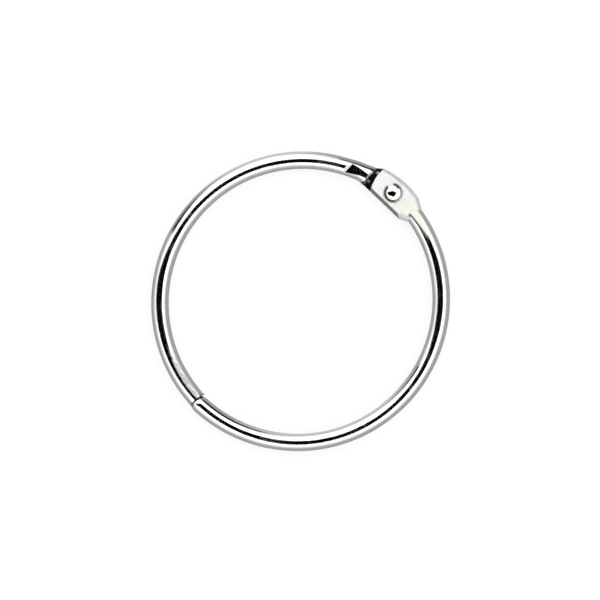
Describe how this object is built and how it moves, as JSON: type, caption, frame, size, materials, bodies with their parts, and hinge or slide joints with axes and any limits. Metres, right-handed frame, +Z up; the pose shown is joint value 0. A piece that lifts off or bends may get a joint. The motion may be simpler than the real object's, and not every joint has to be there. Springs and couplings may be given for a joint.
{
  "type": "binder ring",
  "caption": "Round wire ring split into hinged halves: a rivet joins their flattened ends, and a nose-and-cup joint opposite opens to take punched sheets.",
  "frame": {"origin": "under the ring's centre, on the plane that its lowest point touches", "axes": "+Z up out of the ring lying flat, towards the rivet's domed head; the ring's plane is parallel to XY, the hinge lies in the +X +Y quarter and the closure in the -X -Y quarter"},
  "size_m": [0.058, 0.0582, 0.0044],
  "materials": {
    "bright_plate": "bright nickel plate over steel wire, polished, with faint drawing lines and light handling marks",
    "rivet_plate": "bright nickel plate over a steel rivet, polished"
  },
  "bodies": {
    "lower": {"lower_half": "bright_plate", "hinge_rivet": "rivet_plate"},
    "upper": {"upper_half": "bright_plate"}
  },
  "joints": [
    {"name": "ring_open", "type": "hinge", "parent": "lower", "child": "upper", "pos_m": [0.01798, 0.02099, 0.00191], "axis": [0, 0, -1], "range_deg": [0, 140]}
  ]
}
